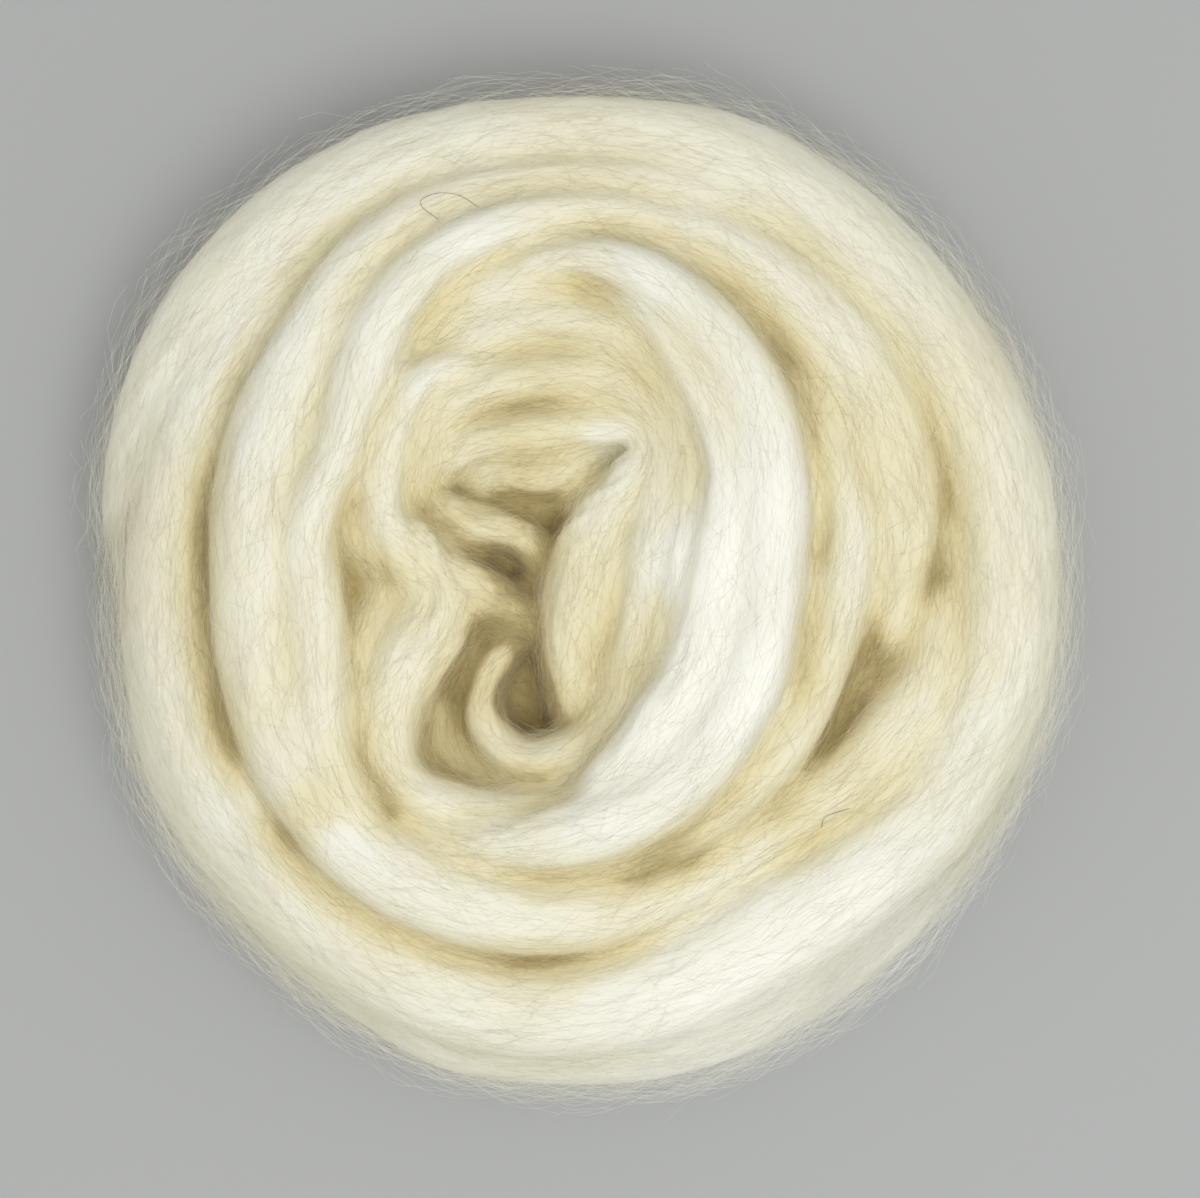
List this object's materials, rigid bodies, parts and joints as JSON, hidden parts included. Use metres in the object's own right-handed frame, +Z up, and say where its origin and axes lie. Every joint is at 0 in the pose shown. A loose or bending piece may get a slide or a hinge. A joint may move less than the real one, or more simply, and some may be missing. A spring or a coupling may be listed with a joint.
{
  "type": "coil of wool roving",
  "caption": "Soft rope of undyed combed wool, untwisted, wound by hand into a low round nest with loose folds in its middle.",
  "frame": {"origin": "middle of the nest's outline, on the surface that it lies on", "axes": "+Z up out of the nest, +Y along its longer side, +X across it, away from the feathered outer end of the roving"},
  "size_m": [0.2393, 0.2475, 0.06],
  "materials": {
    "undyed_wool": "matt, fluffy, cream"
  },
  "bodies": {
    "root": {"roving_coil": "undyed_wool"}
  },
  "joints": []
}
